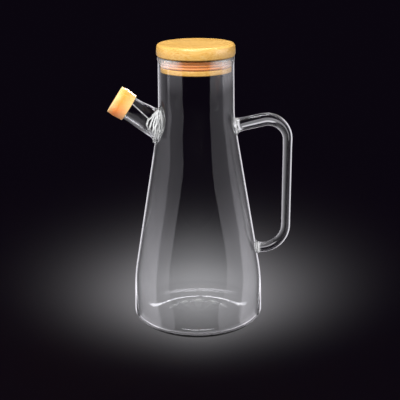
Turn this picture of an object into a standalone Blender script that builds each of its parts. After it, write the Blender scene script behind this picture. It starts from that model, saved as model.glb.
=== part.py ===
# Oil dispenser bottle: a blown borosilicate jug with a short side spout and a solid rod handle,
# a bamboo lid whose plug sits in the neck on a ribbed silicone ring, and a silicone spout cap.
# Units are metres, +Z is up. The origin is on the bottle's axis, in the plane it stands on.
# The spout points along -X and the handle along +X, both in the plane Y = 0.

import math

import bmesh
import bpy
import numpy as np
from mathutils import Matrix, Vector

MM = 0.001
GAP = 0.3 * MM

# Driving dimensions of the glass body
BODY_RADIUS = 50.0 * MM
BODY_HEIGHT = 207.9 * MM
FOOT_RADIUS = 29.1 * MM
HEEL_HEIGHT = 9.8 * MM
HIP_RADIUS = 49.3 * MM
HIP_HEIGHT = 38.3 * MM
HIP_BEND = 127.0 * MM
NECK_RADIUS = 28.3 * MM
NECK_START = 161.2 * MM
NECK_BEND = 95.0 * MM
NECK_TOP_RADIUS = 27.8 * MM
LIP_START = BODY_HEIGHT - 3.6 * MM
LIP_RADIUS = 28.3 * MM
LIP_EDGE_DROP = 1.2 * MM
LIP_CHAMFER = 0.6 * MM
LIP_OUTER_ROUND = 1.0 * MM
LIP_TOP_ROUND = 0.5 * MM
WALL = 1.5 * MM
BASE_THICKNESS = 2.0 * MM
INNER_FOOT_RADIUS = 27.8 * MM
INNER_HEEL_HEIGHT = 10.4 * MM

# Driving dimensions of the spout, along its own axis from where it meets the neck wall
SPOUT_ROOT = Vector((-29.2 * MM, 0.0, 156.5 * MM))
SPOUT_RISE = math.radians(33.0)
SPOUT_RADIUS = 9.0 * MM
SPOUT_ROOT_RADIUS = 10.0 * MM
SPOUT_WELD_RADIUS = 10.9 * MM
SPOUT_LENGTH = 34.8 * MM
SPOUT_WELD_END = 3.0 * MM
SPOUT_WELD_FADE = (5.5 * MM, 0.5 * MM)
SPOUT_TAPER_START = 8.0 * MM
SPOUT_TAPER_END = 20.0 * MM
SPOUT_WALL = 1.4 * MM
SPOUT_SINK = 6.0 * MM

# Driving dimensions of the cap on the spout
CAP_LENGTH = 12.6 * MM
CAP_END_RADIUS = 10.6 * MM
CAP_BELLY_RADIUS = 11.1 * MM
CAP_END_WALL = 2.0 * MM
CAP_BELLY_FROM_END = 4.5 * MM
CAP_BELLY_ROUND = 6.0 * MM
CAP_EDGE = 0.5 * MM

# Driving dimensions of the handle, in the plane Y = 0
HANDLE_GRIP_X = 68.3 * MM
HANDLE_TOP_CENTRE = (52.8 * MM, 145.0 * MM)
HANDLE_TOP_SLOPE = math.radians(12.0)
HANDLE_TOP_BEND = HANDLE_GRIP_X - HANDLE_TOP_CENTRE[0]
HANDLE_TOP_X = 28.0 * MM
HANDLE_LOW_Z = 58.5 * MM
HANDLE_LOW_BEND = 18.5 * MM
HANDLE_LOW_X = 44.6 * MM
HANDLE_TOP_RADIUS = 4.9 * MM
HANDLE_GRIP_RADIUS = 3.7 * MM
HANDLE_LOW_RADIUS = 3.9 * MM
HANDLE_THICK_UNTIL = 0.17
HANDLE_THIN_FROM = 0.32
HANDLE_THIN_UNTIL = 0.75
HANDLE_WELD_RADIUS = 6.5 * MM
HANDLE_WELD_LENGTH = 5.0 * MM
HANDLE_WELD_HOLLOWNESS = 1.5
HANDLE_POINT_SPACING = 4.0 * MM

# Driving dimensions of the lid and its sealing ring
LID_TOP = 217.3 * MM
LID_UNDERSIDE = BODY_HEIGHT + GAP
LID_TOP_RADIUS = 28.1 * MM
LID_BELLY_RADIUS = 28.95 * MM
LID_LOW_RADIUS = 28.5 * MM
LID_BELLY_HEIGHT = 213.0 * MM
LID_BELLY_ROUND = 14.0 * MM
LID_TOP_EDGE = 2.2 * MM
LID_LOW_EDGE = 1.3 * MM
PLUG_CORE_RADIUS = 22.6 * MM
PLUG_RADIUS = 26.0 * MM
PLUG_BOTTOM = 197.1 * MM
PLUG_FLANGE_TOP = 200.8 * MM
PLUG_EDGE = 0.9 * MM
SEAL_BOTTOM = PLUG_FLANGE_TOP + GAP
SEAL_HEIGHT = 5.2 * MM
SEAL_RIBS = 3
SEAL_RIB_FACE = (0.35, 0.65)
SEAL_RIB_RADIUS = 26.0 * MM
SEAL_GROOVE_RADIUS = 24.8 * MM
SEAL_INNER_RADIUS = PLUG_CORE_RADIUS + GAP

# Fineness of the round shapes
TURN_STEPS = 48
TUBE_STEPS = 28
HEEL_STEPS = 8
ROD_RESOLUTION = 5
EDGE_STEP = math.radians(24.0)
BEND_STEP = math.radians(6.0)
SHARP_EDGE = math.radians(35.0)
MERGE_DISTANCE = 0.01 * MM
CUT_BEYOND = 5.0 * MM


# Outline helpers


def rounded(corners, arc_step=EDGE_STEP):
    """The outline through (x, z, radius) corners, each corner replaced by a tangent arc."""
    outline = []
    last = len(corners) - 1
    for index, (x, z, radius) in enumerate(corners):
        corner = Vector((x, z))
        if index in (0, last) or radius == 0.0:
            outline.append(corner)
            continue
        back = (Vector(corners[index - 1][:2]) - corner).normalized()
        ahead = (Vector(corners[index + 1][:2]) - corner).normalized()
        half = back.angle(ahead) / 2.0
        centre = corner + (back + ahead).normalized() * (radius / math.sin(half))
        start = corner + back * (radius / math.tan(half))
        sweep = math.pi - 2.0 * half
        turn = sweep if back.cross(ahead) < 0.0 else -sweep
        steps = max(3, math.ceil(sweep / arc_step))
        for step in range(steps + 1):
            outline.append(centre + Matrix.Rotation(turn * step / steps, 2) @ (start - centre))
    return outline


def heel(foot_radius, wall_radius, foot_height, wall_height, steps):
    """A quarter ellipse that turns from the flat foot up into the wall."""
    arc = []
    for step in range(steps + 1):
        angle = 0.5 * math.pi * step / steps
        x = foot_radius + (wall_radius - foot_radius) * math.sin(angle)
        z = foot_height + (wall_height - foot_height) * (1.0 - math.cos(angle))
        arc.append(Vector((x, z)))
    return arc


def wall_corners(inset):
    """Corners of the wall above the heel, moved in from the outer surface by inset."""
    return [
        (BODY_RADIUS - inset, HEEL_HEIGHT, 0.0),
        (HIP_RADIUS - inset, HIP_HEIGHT, HIP_BEND),
        (NECK_RADIUS - inset, NECK_START, NECK_BEND),
        (NECK_TOP_RADIUS - inset, LIP_START, 0.0),
    ]


# Mesh helpers


def add_object(name, mesh):
    obj = bpy.data.objects.new(name, mesh)
    bpy.context.scene.collection.objects.link(obj)
    return obj


def turned(name, outline, steps, closed=False):
    """A solid of revolution about +Z. An open outline starts and ends on the axis."""
    shape = bmesh.new()
    points = [shape.verts.new((p[0], 0.0, p[1])) for p in outline]
    edges = [shape.edges.new(pair) for pair in zip(points, points[1:])]
    if closed:
        edges.append(shape.edges.new((points[-1], points[0])))
    bmesh.ops.spin(
        shape,
        geom=points + edges,
        cent=(0.0, 0.0, 0.0),
        axis=(0.0, 0.0, 1.0),
        angle=2.0 * math.pi,
        steps=steps,
    )
    bmesh.ops.remove_doubles(shape, verts=shape.verts, dist=MERGE_DISTANCE)
    bmesh.ops.recalc_face_normals(shape, faces=shape.faces)
    mesh = bpy.data.meshes.new(name)
    shape.to_mesh(mesh)
    shape.free()
    mesh.shade_smooth()
    mesh.set_sharp_from_angle(angle=SHARP_EDGE)
    return add_object(name, mesh)


def tool(obj):
    """Marks an object that only adds to or cuts another one."""
    obj.hide_render = True
    obj.display_type = "WIRE"
    return obj


def combine(target, other, operation):
    modifier = target.modifiers.new(other.name, "BOOLEAN")
    modifier.operation = operation
    modifier.object = other
    return modifier


def finish(obj, name, colour, roughness, transmission=0.0, ior=1.5):
    material = bpy.data.materials.new(name)
    material.use_nodes = True
    shader = material.node_tree.nodes["Principled BSDF"]
    shader.inputs["Base Color"].default_value = (*colour, 1.0)
    shader.inputs["Roughness"].default_value = roughness
    shader.inputs["Metallic"].default_value = 0.0
    shader.inputs["Transmission Weight"].default_value = transmission
    shader.inputs["IOR"].default_value = ior
    obj.data.materials.append(material)


# Glass body: the outer form and the hollow that is taken out of it


def body_outer():
    lip = rounded(
        [
            (NECK_TOP_RADIUS, LIP_START, 0.0),
            (LIP_RADIUS, BODY_HEIGHT - LIP_EDGE_DROP, LIP_OUTER_ROUND),
            (LIP_RADIUS - LIP_CHAMFER, BODY_HEIGHT, LIP_TOP_ROUND),
            (0.0, BODY_HEIGHT, 0.0),
        ]
    )
    foot = [Vector((0.0, 0.0))] + heel(FOOT_RADIUS, BODY_RADIUS, 0.0, HEEL_HEIGHT, HEEL_STEPS)
    return turned("glass_bottle", foot + rounded(wall_corners(0.0))[1:] + lip[1:], TURN_STEPS)


def body_hollow():
    wall = [(x, max(z, INNER_HEEL_HEIGHT), bend) for x, z, bend in wall_corners(WALL)]
    bottom = [Vector((0.0, BASE_THICKNESS))]
    bottom += heel(
        INNER_FOOT_RADIUS, BODY_RADIUS - WALL, BASE_THICKNESS, INNER_HEEL_HEIGHT, HEEL_STEPS
    )
    above_lip = BODY_HEIGHT + CUT_BEYOND
    bore_radius = NECK_TOP_RADIUS - WALL
    mouth = [
        Vector((bore_radius, BODY_HEIGHT - LIP_CHAMFER)),
        Vector((bore_radius + LIP_CHAMFER, BODY_HEIGHT)),
        Vector((bore_radius + LIP_CHAMFER, above_lip)),
        Vector((0.0, above_lip)),
    ]
    return tool(turned("hollow", bottom + rounded(wall)[1:] + mouth, TURN_STEPS))


# Spout: a tapered tube welded on through a hole in the neck wall


def spout_frame():
    """Places a shape turned about its own +Z on the spout's axis, starting at the neck wall."""
    lean = math.pi / 2.0 - SPOUT_RISE
    return Matrix.Translation(SPOUT_ROOT) @ Matrix.Rotation(-lean, 4, "Y")


def spout_tube():
    fade_at, fade_swell = SPOUT_WELD_FADE
    outline = [
        (0.0, -SPOUT_SINK),
        (SPOUT_WELD_RADIUS, -SPOUT_SINK),
        (SPOUT_WELD_RADIUS, SPOUT_WELD_END),
        (SPOUT_ROOT_RADIUS + fade_swell, fade_at),
        (SPOUT_ROOT_RADIUS, SPOUT_TAPER_START),
        (SPOUT_RADIUS, SPOUT_TAPER_END),
        (SPOUT_RADIUS, SPOUT_LENGTH),
        (0.0, SPOUT_LENGTH),
    ]
    tube = tool(turned("spout_tube", outline, TUBE_STEPS))
    tube.matrix_world = spout_frame()
    return tube


def spout_bore():
    past_mouth = SPOUT_LENGTH + CUT_BEYOND
    outline = [
        (0.0, -2.0 * SPOUT_SINK),
        (SPOUT_ROOT_RADIUS - SPOUT_WALL, -2.0 * SPOUT_SINK),
        (SPOUT_ROOT_RADIUS - SPOUT_WALL, SPOUT_TAPER_START),
        (SPOUT_RADIUS - SPOUT_WALL, SPOUT_TAPER_END),
        (SPOUT_RADIUS - SPOUT_WALL, past_mouth),
        (0.0, past_mouth),
    ]
    bore = tool(turned("spout_bore", outline, TUBE_STEPS))
    bore.matrix_world = spout_frame()
    return bore


# Handle: a solid glass rod bent twice and welded to the neck and to the lower wall


def handle_route():
    """Points along the rod's centre line: top run, bend, grip, bend and lower run."""
    top_x, top_z = HANDLE_TOP_CENTRE
    tangent_x = top_x - HANDLE_TOP_BEND * math.sin(HANDLE_TOP_SLOPE)
    tangent_z = top_z + HANDLE_TOP_BEND * math.cos(HANDLE_TOP_SLOPE)
    start_z = tangent_z - (tangent_x - HANDLE_TOP_X) * math.tan(HANDLE_TOP_SLOPE)
    corner_z = tangent_z + (HANDLE_GRIP_X - tangent_x) * math.tan(HANDLE_TOP_SLOPE)
    route = rounded(
        [
            (HANDLE_TOP_X, start_z, 0.0),
            (HANDLE_GRIP_X, corner_z, HANDLE_TOP_BEND),
            (HANDLE_GRIP_X, HANDLE_LOW_Z, HANDLE_LOW_BEND),
            (HANDLE_LOW_X, HANDLE_LOW_Z, 0.0),
        ],
        BEND_STEP,
    )
    route = np.array(route)
    lengths = np.append(0.0, np.cumsum(np.linalg.norm(np.diff(route, axis=0), axis=1)))
    count = round(lengths[-1] / HANDLE_POINT_SPACING)
    even = np.linspace(0.0, lengths[-1], count)
    near_weld = np.array([0.5, 1.0]) * HANDLE_WELD_LENGTH
    even = np.unique(np.concatenate([even, near_weld, lengths[-1] - near_weld]))
    return even, np.interp(even, lengths, route[:, 0]), np.interp(even, lengths, route[:, 1])


def handle_thickness(along):
    """Thick at the top run, thinner in the grip, and swelling to a bead at both welds."""
    whole = along[-1]
    shares = [0.0, HANDLE_THICK_UNTIL, HANDLE_THIN_FROM, HANDLE_THIN_UNTIL, 1.0]
    stations = np.array(shares) * whole
    radii = [
        HANDLE_TOP_RADIUS,
        HANDLE_TOP_RADIUS,
        HANDLE_GRIP_RADIUS,
        HANDLE_GRIP_RADIUS,
        HANDLE_LOW_RADIUS,
    ]
    rod = np.interp(along, stations, radii)
    from_weld = np.minimum(along, whole - along)
    bead = np.clip(1.0 - from_weld / HANDLE_WELD_LENGTH, 0.0, 1.0)
    return rod + (HANDLE_WELD_RADIUS - rod) * bead**HANDLE_WELD_HOLLOWNESS


def handle_rod():
    along, xs, zs = handle_route()
    curve = bpy.data.curves.new("handle_rod", "CURVE")
    curve.dimensions = "3D"
    curve.bevel_depth = 1.0
    curve.bevel_resolution = ROD_RESOLUTION
    curve.use_fill_caps = True
    spline = curve.splines.new("POLY")
    spline.points.add(len(along) - 1)
    for point, x, z, radius in zip(spline.points, xs, zs, handle_thickness(along)):
        point.co = (x, 0.0, z, 1.0)
        point.radius = radius
    guide = add_object("handle_guide", curve)
    mesh = bpy.data.meshes.new_from_object(guide.evaluated_get(bpy.context.evaluated_depsgraph_get()))
    bpy.data.objects.remove(guide)
    return tool(add_object("handle_rod", mesh))


def glass_bottle():
    bottle = body_outer()
    combine(bottle, spout_tube(), "UNION")
    combine(bottle, handle_rod(), "UNION")
    combine(bottle, body_hollow(), "DIFFERENCE")
    combine(bottle, spout_bore(), "DIFFERENCE")
    finish(bottle, "borosilicate glass", (0.96, 0.98, 0.98), 0.02, transmission=1.0, ior=1.47)


# Cap: a soft sleeve with a closed end, pushed over the spout's mouth


def spout_cap():
    end = SPOUT_LENGTH + GAP + CAP_END_WALL
    rim = end - CAP_LENGTH
    inside = SPOUT_RADIUS + GAP
    outer = rounded(
        [
            (0.0, end, 0.0),
            (CAP_END_RADIUS, end, CAP_EDGE),
            (CAP_BELLY_RADIUS, end - CAP_BELLY_FROM_END, CAP_BELLY_ROUND),
            (CAP_END_RADIUS, rim, 0.5 * CAP_EDGE),
            (inside, rim, 0.0),
        ]
    )
    inner = [Vector((inside, SPOUT_LENGTH + GAP)), Vector((0.0, SPOUT_LENGTH + GAP))]
    cap = turned("spout_cap", outer + inner, TUBE_STEPS)
    cap.matrix_world = spout_frame()
    finish(cap, "orange silicone", (0.85, 0.42, 0.13), 0.45)


# Lid: a bamboo disc with a grooved plug, turned from one block


def bamboo_lid():
    outline = rounded(
        [
            (0.0, LID_TOP, 0.0),
            (LID_TOP_RADIUS, LID_TOP, LID_TOP_EDGE),
            (LID_BELLY_RADIUS, LID_BELLY_HEIGHT, LID_BELLY_ROUND),
            (LID_LOW_RADIUS, LID_UNDERSIDE, LID_LOW_EDGE),
            (PLUG_CORE_RADIUS, LID_UNDERSIDE, 0.0),
            (PLUG_CORE_RADIUS, PLUG_FLANGE_TOP, 0.0),
            (PLUG_RADIUS, PLUG_FLANGE_TOP, 0.0),
            (PLUG_RADIUS, PLUG_BOTTOM, PLUG_EDGE),
            (0.0, PLUG_BOTTOM, 0.0),
        ]
    )
    lid = turned("bamboo_lid", outline, TURN_STEPS)
    finish(lid, "bamboo", (0.80, 0.53, 0.20), 0.5)


# Sealing ring: translucent silicone in the plug's groove, with ribs that press on the neck


def silicone_seal():
    pitch = SEAL_HEIGHT / SEAL_RIBS
    face_start, face_end = SEAL_RIB_FACE
    outline = []
    for rib in range(SEAL_RIBS):
        foot = SEAL_BOTTOM + rib * pitch
        outline.append((SEAL_GROOVE_RADIUS, foot))
        outline.append((SEAL_RIB_RADIUS, foot + face_start * pitch))
        outline.append((SEAL_RIB_RADIUS, foot + face_end * pitch))
    outline.append((SEAL_GROOVE_RADIUS, SEAL_BOTTOM + SEAL_HEIGHT))
    outline.append((SEAL_INNER_RADIUS, SEAL_BOTTOM + SEAL_HEIGHT))
    outline.append((SEAL_INNER_RADIUS, SEAL_BOTTOM))
    seal = turned("silicone_seal", outline, TURN_STEPS, closed=True)
    finish(seal, "translucent silicone", (0.85, 0.60, 0.42), 0.4, transmission=0.3, ior=1.41)


for old in list(bpy.data.objects):
    bpy.data.objects.remove(old)

glass_bottle()
spout_cap()
bamboo_lid()
silicone_seal()
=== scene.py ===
# Looks of the oil dispenser bottle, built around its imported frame.
# Sizes are in millimetres in the named values and in metres in Blender. +Z is up, the handle points along +X
# and the spout along -X, as in the frame.

import math

import bpy
import numpy as np
from mathutils import Matrix, Vector


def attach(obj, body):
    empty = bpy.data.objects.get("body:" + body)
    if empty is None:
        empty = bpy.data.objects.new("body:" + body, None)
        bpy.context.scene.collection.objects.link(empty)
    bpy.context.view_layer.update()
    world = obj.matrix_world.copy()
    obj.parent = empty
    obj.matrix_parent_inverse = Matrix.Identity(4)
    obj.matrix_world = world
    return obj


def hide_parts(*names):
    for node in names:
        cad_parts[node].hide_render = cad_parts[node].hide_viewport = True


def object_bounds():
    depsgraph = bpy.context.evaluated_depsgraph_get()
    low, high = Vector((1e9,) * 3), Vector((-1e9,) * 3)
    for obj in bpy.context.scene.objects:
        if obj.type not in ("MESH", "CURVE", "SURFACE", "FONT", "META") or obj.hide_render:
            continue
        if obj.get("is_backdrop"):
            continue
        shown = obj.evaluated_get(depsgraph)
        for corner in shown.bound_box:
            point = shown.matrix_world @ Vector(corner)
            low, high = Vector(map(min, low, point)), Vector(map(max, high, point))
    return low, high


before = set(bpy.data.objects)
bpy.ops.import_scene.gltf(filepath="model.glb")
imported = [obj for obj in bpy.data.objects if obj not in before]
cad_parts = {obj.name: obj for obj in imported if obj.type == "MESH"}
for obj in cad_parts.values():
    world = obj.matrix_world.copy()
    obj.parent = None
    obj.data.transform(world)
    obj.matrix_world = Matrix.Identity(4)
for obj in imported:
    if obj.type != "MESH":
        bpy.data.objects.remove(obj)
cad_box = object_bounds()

MM = 0.001
scene = bpy.context.scene


# Camera
# A short telephoto looks down on the bottle from just above lid height, and hangs half a degree
# clockwise, so that the bottle leans a little to the left in the picture.

CAMERA_PLACE = (2.1, -629.96, 305.04)
CAMERA_PITCH = math.radians(18.23)
CAMERA_ROLL = math.radians(-0.5)
CAMERA_LENS = 77.77
CAMERA_SENSOR = 36.0

camera_data = bpy.data.cameras.new("photo_camera")
camera_data.lens = CAMERA_LENS
camera_data.sensor_width = CAMERA_SENSOR
camera = bpy.data.objects.new("photo_camera", camera_data)
scene.collection.objects.link(camera)
look = Matrix.Rotation(math.pi / 2.0 - CAMERA_PITCH, 4, "X") @ Matrix.Rotation(CAMERA_ROLL, 4, "Z")
camera.matrix_world = Matrix.Translation(Vector(CAMERA_PLACE) * MM) @ look
scene.camera = camera


# Glass bottle
# One piece of borosilicate glass: a blown body with a flat foot, a cone and a neck, a short tube fused
# over a hole in the neck, and a solid rod bent into a handle and fused on at both ends.

BODY_RADIUS = 50.0
BODY_HEIGHT = 207.9
FOOT_RADIUS = 29.1
HEEL_HEIGHT = 9.8
HEEL_POINTS = 28
# The two bends of the wall: distance from the axis, height, and radius of the bend
HIP = (49.3, 38.3, 127.0)
NECK = (28.3, 161.2, 95.0)
NECK_TOP_RADIUS = 27.8
LIP_START = BODY_HEIGHT - 3.6
LIP_RADIUS = 28.3
# The two edges of the lip: how far in from its widest part or its top, and the radius
LIP_OUTER_EDGE = (1.2, 1.0)
LIP_TOP_EDGE = (0.6, 0.5)
LIP_CLOSED_RADIUS = 20.0
LIP_SPACING = 0.15
GLASS_WALL = 1.5
BASE_THICKNESS = 2.0
INNER_FOOT_RADIUS = 27.8
INNER_HEEL_HEIGHT = 10.4
MOUTH_BEVEL = 0.6
MOUTH_CUT = 5.0
BODY_STEPS = 192
BEND_SPACING = 1.0
WALL_SPACING = 2.1


def rounded(corners, spacing):
    """The line through (x, z, radius) corners, as an array of (x, z). A corner with a radius becomes the arc
    that touches both its sides: it starts radius / tan(half angle) before the corner, and its centre lies on
    the bisector, radius / sin(half angle) away. Points on an arc are about spacing apart."""
    pieces = []
    places = [np.array(corner[:2]) for corner in corners]
    for index, (x, z, radius) in enumerate(corners):
        corner = places[index]
        if radius == 0.0:
            pieces.append(corner[None, :])
            continue
        back = places[index - 1] - corner
        ahead = places[index + 1] - corner
        back = back / np.linalg.norm(back)
        ahead = ahead / np.linalg.norm(ahead)
        half = 0.5 * math.acos(float(np.clip(back @ ahead, -1.0, 1.0)))
        middle = (back + ahead) / np.linalg.norm(back + ahead)
        centre = corner + middle * radius / math.sin(half)
        start = corner + back * radius / math.tan(half) - centre
        sweep = math.pi - 2.0 * half
        if back[0] * ahead[1] - back[1] * ahead[0] > 0.0:
            sweep = -sweep
        turn = np.linspace(0.0, sweep, max(4, math.ceil(abs(sweep) * radius / spacing)))
        arc_x = centre[0] + np.cos(turn) * start[0] - np.sin(turn) * start[1]
        arc_z = centre[1] + np.sin(turn) * start[0] + np.cos(turn) * start[1]
        pieces.append(np.stack([arc_x, arc_z], axis=1))
    return np.concatenate(pieces)


def resampled(line, spacing):
    """The same line with points at even steps of its length, about spacing apart."""
    along = np.append(0.0, np.cumsum(np.linalg.norm(np.diff(line, axis=0), axis=1)))
    even = np.linspace(0.0, along[-1], max(2, round(along[-1] / spacing)))
    return np.stack([np.interp(even, along, line[:, axis]) for axis in range(line.shape[1])], axis=1)


def turned(profile, steps):
    """Rows of a surface of revolution about +Z: each (radius, height) of the profile goes once round."""
    turn = np.linspace(0.0, 2.0 * math.pi, steps, endpoint=False)
    ring = np.stack([np.cos(turn), np.sin(turn)], axis=1)
    rows = profile[:, None, :1] * ring[None, :, :]
    height = np.broadcast_to(profile[:, None, 1:], rows.shape[:2] + (1,))
    return np.concatenate([rows, height], axis=2)


def build(name, grid, ring=False, sharp=40.0):
    """A closed mesh object from a grid of points in millimetres, whose columns run round. Rows are joined by
    quads. With ring the last row joins the first, otherwise a fan to the mean of each end row closes the
    ends. Where the signed volume comes out negative, all faces are turned over."""
    rows, columns = grid.shape[:2]
    index = np.arange(rows * columns).reshape(rows, columns)
    if ring:
        index = np.concatenate([index, index[:1]])
    beside = np.roll(index, -1, axis=1)
    quads = np.stack([index[:-1], beside[:-1], beside[1:], index[1:]], axis=-1).reshape(-1, 4)
    points = grid.reshape(-1, 3)
    faces = quads.tolist()
    if not ring:
        points = np.concatenate([points, grid[:1].mean(axis=1), grid[-1:].mean(axis=1)])
        first = np.full(columns, rows * columns)
        start = np.stack([beside[0], index[0], first], axis=1)
        end = np.stack([index[-1], beside[-1], first + 1], axis=1)
        faces += np.concatenate([start, end]).tolist()
    corner = points[quads]
    volume = np.einsum("ij,ij->", corner[:, 0], np.cross(corner[:, 1], corner[:, 2]))
    volume += np.einsum("ij,ij->", corner[:, 0], np.cross(corner[:, 2], corner[:, 3]))
    mesh = bpy.data.meshes.new(name)
    mesh.from_pydata((points * MM).tolist(), [], faces)
    if volume < 0.0:
        mesh.flip_normals()
    mesh.shade_smooth()
    mesh.set_sharp_from_angle(angle=math.radians(sharp))
    obj = bpy.data.objects.new(name, mesh)
    scene.collection.objects.link(obj)
    return obj


def fuse(target, others, operation):
    """Applies a Boolean of each of the other closed solids to the target, and removes them."""
    for other in others:
        step = target.modifiers.new(other.name, "BOOLEAN")
        step.operation = operation
        step.solver = "EXACT"
        step.object = other
    mesh = bpy.data.meshes.new_from_object(target.evaluated_get(bpy.context.evaluated_depsgraph_get()))
    target.modifiers.clear()
    target.data = mesh
    for other in others:
        bpy.data.objects.remove(other)


def quarter(start, end, count):
    """A quarter ellipse from the flat at start, turning up into the upright at end."""
    turn = np.linspace(0.0, 0.5 * math.pi, count)
    x = start[0] + (end[0] - start[0]) * np.sin(turn)
    z = start[1] + (end[1] - start[1]) * (1.0 - np.cos(turn))
    return np.stack([x, z], axis=1)


def wall_line(inset):
    """The wall from the heel to the lip, moved in from the outer face by inset."""
    corners = [
        (BODY_RADIUS - inset, HEEL_HEIGHT, 0.0),
        (HIP[0] - inset, HIP[1], HIP[2]),
        (NECK[0] - inset, NECK[1], NECK[2]),
        (NECK_TOP_RADIUS - inset, LIP_START, 0.0),
    ]
    return rounded(corners, BEND_SPACING)


outer_wall = resampled(wall_line(0.0), WALL_SPACING)
heel = quarter((FOOT_RADIUS, 0.0), (BODY_RADIUS, HEEL_HEIGHT), HEEL_POINTS)
lip = rounded(
    [
        (NECK_TOP_RADIUS, LIP_START, 0.0),
        (LIP_RADIUS, BODY_HEIGHT - LIP_OUTER_EDGE[0], LIP_OUTER_EDGE[1]),
        (LIP_RADIUS - LIP_TOP_EDGE[0], BODY_HEIGHT, LIP_TOP_EDGE[1]),
        (LIP_CLOSED_RADIUS, BODY_HEIGHT, 0.0),
    ],
    LIP_SPACING,
)
outside = np.concatenate([heel, outer_wall[1:], lip[1:]])
bottle = build("glass_bottle_clear", turned(outside, BODY_STEPS))

# The hollow is cut out of it, with a faint ripple round the floor of its back half
RIPPLE_RADIUS = 25.7
RIPPLE_HEIGHT = 0.1
RIPPLE_WIDTH = 0.5
RIPPLE_REACH = 2.0
RIPPLE_SPACING = 0.12
RIPPLE_END_GAP = 0.1
RIPPLE_SWELL = 0.4
RIPPLE_SWELLS_ROUND = 17.0

inner_wall = wall_line(GLASS_WALL)
inner_wall = resampled(inner_wall[inner_wall[:, 1] > INNER_HEEL_HEIGHT], WALL_SPACING)
inner_heel_end = (BODY_RADIUS - GLASS_WALL, INNER_HEEL_HEIGHT)
inner_heel = quarter((INNER_FOOT_RADIUS, BASE_THICKNESS), inner_heel_end, HEEL_POINTS)
ripple_radius = np.arange(RIPPLE_RADIUS - RIPPLE_REACH, INNER_FOOT_RADIUS - RIPPLE_END_GAP, RIPPLE_SPACING)
ripple_rise = RIPPLE_HEIGHT * np.exp(-(((ripple_radius - RIPPLE_RADIUS) / RIPPLE_WIDTH) ** 2))
ripple = np.stack([ripple_radius, BASE_THICKNESS + ripple_rise], axis=1)
neck_bore = NECK_TOP_RADIUS - GLASS_WALL
mouth = np.array(
    [
        (neck_bore, BODY_HEIGHT - MOUTH_BEVEL),
        (neck_bore + MOUTH_BEVEL, BODY_HEIGHT),
        (neck_bore + MOUTH_BEVEL, BODY_HEIGHT + MOUTH_CUT),
    ]
)
hollow_rows = turned(np.concatenate([ripple, inner_heel, inner_wall, mouth]), BODY_STEPS)
ripple_turn = np.linspace(0.0, 2.0 * math.pi, BODY_STEPS, endpoint=False)
ripple_share = np.sqrt(np.clip(np.sin(ripple_turn), 0.0, 1.0))
ripple_share = ripple_share * (1.0 + RIPPLE_SWELL * np.sin(RIPPLE_SWELLS_ROUND * ripple_turn))
ripple_rows = hollow_rows[: len(ripple)]
ripple_rows[:, :, 2] = BASE_THICKNESS + (ripple_rows[:, :, 2] - BASE_THICKNESS) * ripple_share
hollow = build("hollow", hollow_rows)

# The spout is a tube turned about its own axis, whose root follows the curved neck wall
SPOUT_ROOT = np.array([-29.2, 0.0, 156.5])
SPOUT_RISE = math.radians(33.0)
SPOUT_RADIUS = 9.0
SPOUT_ROOT_RADIUS = 10.0
SPOUT_LENGTH = 34.8
SPOUT_TAPER = (8.0, 20.0)
SPOUT_WALL = 1.4
SPOUT_STEPS = 144
WALL_SEARCH = 14.0
WALL_SEARCH_HALVINGS = 30

spout_axis = np.array([-math.cos(SPOUT_RISE), 0.0, math.sin(SPOUT_RISE)])
spout_top = np.array([math.sin(SPOUT_RISE), 0.0, math.cos(SPOUT_RISE)])
spout_turn = np.linspace(0.0, 2.0 * math.pi, SPOUT_STEPS, endpoint=False)
spout_ring = np.outer(np.cos(spout_turn), spout_top) + np.outer(np.sin(spout_turn), [0.0, 1.0, 0.0])


def along_to_wall(radius, wall):
    """How far along the spout's axis each line of the tube meets the neck wall, found by halving the interval
    in which the distance from the bottle's axis passes the wall's radius at that height."""
    low = np.full(SPOUT_STEPS, -WALL_SEARCH)
    high = np.full(SPOUT_STEPS, WALL_SEARCH)
    for _ in range(WALL_SEARCH_HALVINGS):
        middle = 0.5 * (low + high)
        point = SPOUT_ROOT + middle[:, None] * spout_axis + radius * spout_ring
        outside = np.hypot(point[:, 0], point[:, 1]) > np.interp(point[:, 2], wall[:, 1], wall[:, 0])
        high = np.where(outside, middle, high)
        low = np.where(outside, low, middle)
    return middle


def root_share(along):
    """How much of the shift to the wall is left this far along the tube."""
    done = np.clip(along / SPOUT_TAPER[1], 0.0, 1.0)
    return 1.0 - done * done * (3.0 - 2.0 * done)


def spout_rows(along, radius, meets):
    """Rows of the tube: at each step along the axis a circle of that radius, its start moved to where each
    line of the tube meets the wall, and the shift fading out by the end of the taper."""
    place = along[:, None] + root_share(along)[:, None] * meets[None, :]
    return SPOUT_ROOT + place[:, :, None] * spout_axis + radius[:, :, None] * spout_ring[None, :, :]


def tube_radius(along):
    """The tube's outer radius, from the root's to the mouth's over the taper."""
    return np.interp(along, SPOUT_TAPER, (SPOUT_ROOT_RADIUS, SPOUT_RADIUS))


# Round its root the tube swells to a collar with five fused seams, where the rows lie close together
SPOUT_COLLAR = 2.2
SPOUT_COLLAR_FADE = 1.5
SPOUT_SUNK_ROWS = (-4.0, -2.0, -0.8)
SEAM_ZONE = (-0.4, 9.0)
SEAM_SPACING = 0.14
TUBE_SPACING = 0.8
SEAM_START = 0.6
SEAM_BULGES = (8.6, 6.2, 4.0, 2.2, 0.0)
SEAM_HEIGHT = 0.32
SEAM_WIDTH = 0.42
# Waves of a seam: height, number round the tube, and turn from one seam to the next
SEAM_WAVES = ((0.25, 7.0, 2.1), (0.15, 13.0, 1.0))

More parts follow.
